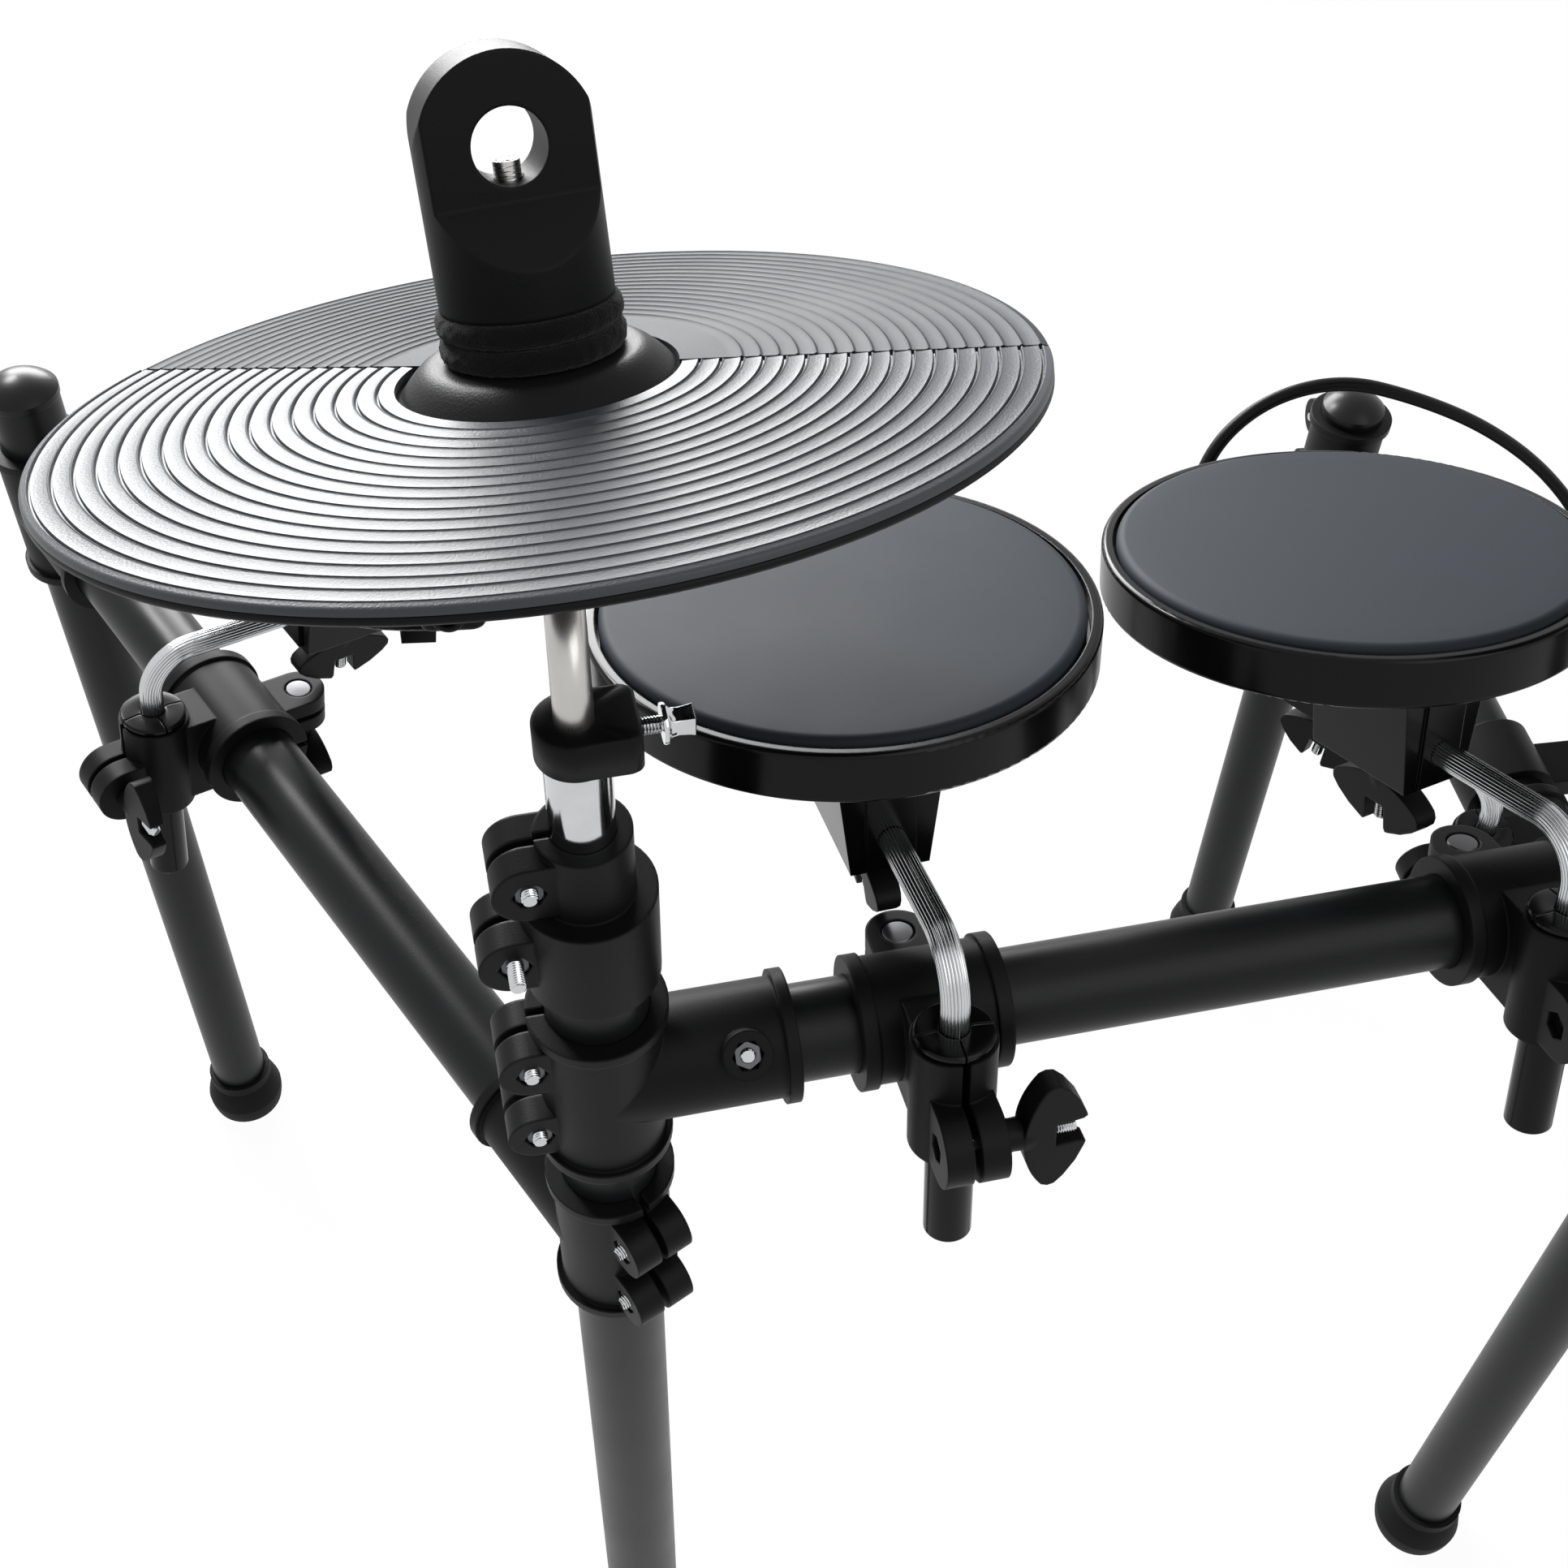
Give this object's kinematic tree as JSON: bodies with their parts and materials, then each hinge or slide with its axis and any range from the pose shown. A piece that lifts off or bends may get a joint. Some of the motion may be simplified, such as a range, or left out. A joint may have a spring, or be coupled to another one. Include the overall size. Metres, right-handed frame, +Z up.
{
  "type": "electronic drum kit",
  "caption": "Electronic drum kit on a folding tube rack: round rubber pads and ribbed cymbal pads on clamped arms, with a sound module.",
  "frame": {"origin": "on the floor, under the middle of the kit's box", "axes": "+X along the front rail towards the player's left, +Y from the audience to the player, +Z up"},
  "size_m": [1.0138, 0.6274, 1.0782],
  "materials": {
    "rack_tube": "satin black powder coat",
    "black_moulding": "satin black nylon",
    "foot_rubber": "matte black rubber",
    "chrome": "chrome",
    "satin_steel": "satin nickel",
    "black_metal": "satin black",
    "wing_plastic": "satin black nylon",
    "cymbal_plastic": "satin dark grey",
    "cymbal_rubber": "fine-grained dark grey rubber",
    "felt": "black felt",
    "nut_plastic": "satin black",
    "pad_shell": "glossy black",
    "pad_rubber": "matte dark grey rubber",
    "module_plastic": "fine satin black",
    "display": "dark display window",
    "control": "dark grey",
    "lead": "black jacket",
    "plug": "black moulded plug"
  },
  "bodies": {
    "rack": {"front_posts": "rack_tube", "rear_posts": "rack_tube", "front_rail": "rack_tube", "right_rail": "rack_tube", "left_rail": "rack_tube", "front_tees": "black_moulding", "corner_tees": "black_moulding", "rear_tees": "black_moulding", "post_caps": "black_moulding", "arm_clamps": "black_moulding", "module_bracket": "black_moulding", "rod_bushes": "black_moulding", "middle_tom_clamp": "black_moulding", "high_tom_clamp": "black_moulding", "floor_tom_clamp": "black_moulding", "snare_clamp": "black_moulding", "rubber_feet": "foot_rubber", "arm_tubes": "chrome", "arm_collars": "black_metal", "rail_wing_bolts": "wing_plastic", "module_case": "module_plastic", "module_display": "display", "tom_lead": "lead", "module_plug": "plug"},
    "ride_arm": {"ride_rod": "satin_steel", "ride_felts": "felt"},
    "ride_cymbal": {"ride_base": "cymbal_plastic", "ride_rubber": "cymbal_rubber"},
    "ride_wing_nut": {"ride_nut": "nut_plastic"},
    "crash_arm": {"crash_rod": "satin_steel", "crash_felts": "felt"},
    "crash_cymbal": {"crash_base": "cymbal_plastic", "crash_rubber": "cymbal_rubber"},
    "crash_wing_nut": {"crash_nut": "nut_plastic"},
    "middle_tom_arm": {"middle_tom_rod": "chrome"},
    "middle_tom_pad": {"middle_tom_shell": "pad_shell", "middle_tom_head": "pad_rubber"},
    "middle_tom_pad_screw": {"middle_tom_pad_wing": "wing_plastic"},
    "middle_tom_rod_screw": {"middle_tom_rod_wing": "wing_plastic"},
    "high_tom_arm": {"high_tom_rod": "chrome", "tom_plug": "plug"},
    "high_tom_pad": {"high_tom_shell": "pad_shell", "high_tom_head": "pad_rubber"},
    "high_tom_pad_screw": {"high_tom_pad_wing": "wing_plastic"},
    "high_tom_rod_screw": {"high_tom_rod_wing": "wing_plastic"},
    "floor_tom_arm": {"floor_tom_rod": "chrome"},
    "floor_tom_pad": {"floor_tom_shell": "pad_shell", "floor_tom_head": "pad_rubber"},
    "floor_tom_pad_screw": {"floor_tom_pad_wing": "wing_plastic"},
    "floor_tom_rod_screw": {"floor_tom_rod_wing": "wing_plastic"},
    "snare_arm": {"snare_rod": "chrome"},
    "snare_pad": {"snare_shell": "pad_shell", "snare_head": "pad_rubber"},
    "snare_pad_screw": {"snare_pad_wing": "wing_plastic"},
    "snare_rod_screw": {"snare_rod_wing": "wing_plastic"},
    "volume_knob": {"volume_knob": "control"},
    "down_button": {"down_button": "control"},
    "start_button": {"start_button": "control"},
    "up_button": {"up_button": "control"}
  },
  "joints": [
    {"name": "ride_swivel", "type": "hinge", "parent": "rack", "child": "ride_arm", "pos_m": [-0.24686, -0.23626, 0.784], "axis": [0, 0, 1], "range_deg": [-45, 45]},
    {"name": "ride_rock", "type": "hinge", "parent": "ride_arm", "child": "ride_cymbal", "pos_m": [-0.24249, -0.16449, 0.99152], "axis": [0.993, 0.1184, 0], "range_deg": [-6, 6], "stiffness_Nm_per_rad": 4, "deforming": ["ride_felts"]},
    {"name": "ride_nut_turn", "type": "hinge", "parent": "ride_arm", "child": "ride_wing_nut", "pos_m": [-0.24319, -0.15863, 1.008], "axis": [-0.0399, 0.3347, 0.9415], "continuous": true},
    {"name": "crash_swivel", "type": "hinge", "parent": "rack", "child": "crash_arm", "pos_m": [0.28314, -0.23626, 0.784], "axis": [0, 0, 1], "range_deg": [-45, 45]},
    {"name": "crash_rock", "type": "hinge", "parent": "crash_arm", "child": "crash_cymbal", "pos_m": [0.27877, -0.16449, 0.99152], "axis": [0.993, -0.1184, 0], "range_deg": [-6, 6], "stiffness_Nm_per_rad": 4, "deforming": ["crash_felts"]},
    {"name": "crash_nut_turn", "type": "hinge", "parent": "crash_arm", "child": "crash_wing_nut", "pos_m": [0.27947, -0.15863, 1.008], "axis": [0.0399, 0.3347, 0.9415], "continuous": true},
    {"name": "middle_tom_swivel", "type": "hinge", "parent": "rack", "child": "middle_tom_arm", "pos_m": [-0.12186, -0.27538, 0.72832], "axis": [0, 0.2079, 0.9781], "range_deg": [-1, 8]},
    {"name": "middle_tom_tilt", "type": "hinge", "parent": "middle_tom_arm", "child": "middle_tom_pad", "pos_m": [-0.12903, -0.12908, 0.75856], "axis": [-0.0523, 0.9768, -0.2076], "range_deg": [-12, 2]},
    {"name": "middle_tom_pad_screw_turn", "type": "hinge", "parent": "middle_tom_pad", "child": "middle_tom_pad_screw", "pos_m": [-0.12715, -0.16764, 0.75009], "axis": [0, -0.2079, -0.9781], "continuous": true},
    {"name": "middle_tom_rod_screw_turn", "type": "hinge", "parent": "rack", "child": "middle_tom_rod_screw", "pos_m": [-0.10956, -0.298, 0.7229], "axis": [1, 0, 0], "continuous": true},
    {"name": "high_tom_swivel", "type": "hinge", "parent": "rack", "child": "high_tom_arm", "pos_m": [0.12314, -0.27451, 0.73169], "axis": [0, 0.2924, 0.9563], "range_deg": [-25, 1], "deforming": ["tom_lead"]},
    {"name": "high_tom_tilt", "type": "hinge", "parent": "high_tom_arm", "child": "high_tom_pad", "pos_m": [0.08538, -0.13103, 0.75057], "axis": [-0.2756, 0.9193, -0.281], "range_deg": [-2, 15]},
    {"name": "high_tom_pad_screw_turn", "type": "hinge", "parent": "high_tom_pad", "child": "high_tom_pad_screw", "pos_m": [0.0953, -0.16889, 0.7451], "axis": [0, -0.2924, -0.9563], "continuous": true},
    {"name": "high_tom_rod_screw_turn", "type": "hinge", "parent": "rack", "child": "high_tom_rod_screw", "pos_m": [0.13544, -0.29751, 0.72827], "axis": [1, 0, 0], "continuous": true},
    {"name": "floor_tom_swivel", "type": "hinge", "parent": "rack", "child": "floor_tom_arm", "pos_m": [-0.42598, 0.06125, 0.61557], "axis": [0.1266, 0.0577, 0.9903], "range_deg": [-20, 20]},
    {"name": "floor_tom_tilt", "type": "hinge", "parent": "floor_tom_arm", "child": "floor_tom_pad", "pos_m": [-0.29493, 0.12098, 0.65592], "axis": [0.9011, 0.4107, -0.1392], "range_deg": [-15, 15]},
    {"name": "floor_tom_pad_screw_turn", "type": "hinge", "parent": "floor_tom_pad", "child": "floor_tom_pad_screw", "pos_m": [-0.32943, 0.10525, 0.64479], "axis": [-0.1266, -0.0577, -0.9903], "continuous": true},
    {"name": "floor_tom_rod_screw_turn", "type": "hinge", "parent": "rack", "child": "floor_tom_rod_screw", "pos_m": [-0.44106, 0.04086, 0.60859], "axis": [0.4147, -0.91, 0], "continuous": true},
    {"name": "snare_swivel", "type": "hinge", "parent": "rack", "child": "snare_arm", "pos_m": [0.25523, -0.06188, 0.51], "axis": [0, 0, 1], "range_deg": [-15, 15]},
    {"name": "snare_tilt", "type": "hinge", "parent": "snare_arm", "child": "snare_pad", "pos_m": [0.18263, 0.0543, 0.57], "axis": [-0.5299, 0.848, 0], "range_deg": [-15, 15]},
    {"name": "snare_pad_screw_turn", "type": "hinge", "parent": "snare_pad", "child": "snare_pad_screw", "pos_m": [0.19884, 0.02197, 0.55406], "axis": [-0.1763, -0.1102, -0.9781], "continuous": true},
    {"name": "snare_rod_screw_turn", "type": "hinge", "parent": "rack", "child": "snare_rod_screw", "pos_m": [0.23343, -0.07269, 0.5], "axis": [-0.0698, -0.9976, 0], "continuous": true},
    {"name": "volume_turn", "type": "hinge", "parent": "rack", "child": "volume_knob", "pos_m": [0.41493, -0.07806, 0.63196], "axis": [-0.4216, 0.0295, 0.9063], "range_deg": [-135, 135]},
    {"name": "down_press", "type": "slide", "parent": "rack", "child": "down_button", "axis": [0.4216, -0.0295, -0.9063], "range_m": [0, 0.0025], "stiffness_N_per_m": 400, "springref_m": -0.0005},
    {"name": "start_press", "type": "slide", "parent": "rack", "child": "start_button", "axis": [0.4216, -0.0295, -0.9063], "range_m": [0, 0.0025], "stiffness_N_per_m": 400, "springref_m": -0.0005},
    {"name": "up_press", "type": "slide", "parent": "rack", "child": "up_button", "axis": [0.4216, -0.0295, -0.9063], "range_m": [0, 0.0025], "stiffness_N_per_m": 400, "springref_m": -0.0005}
  ]
}
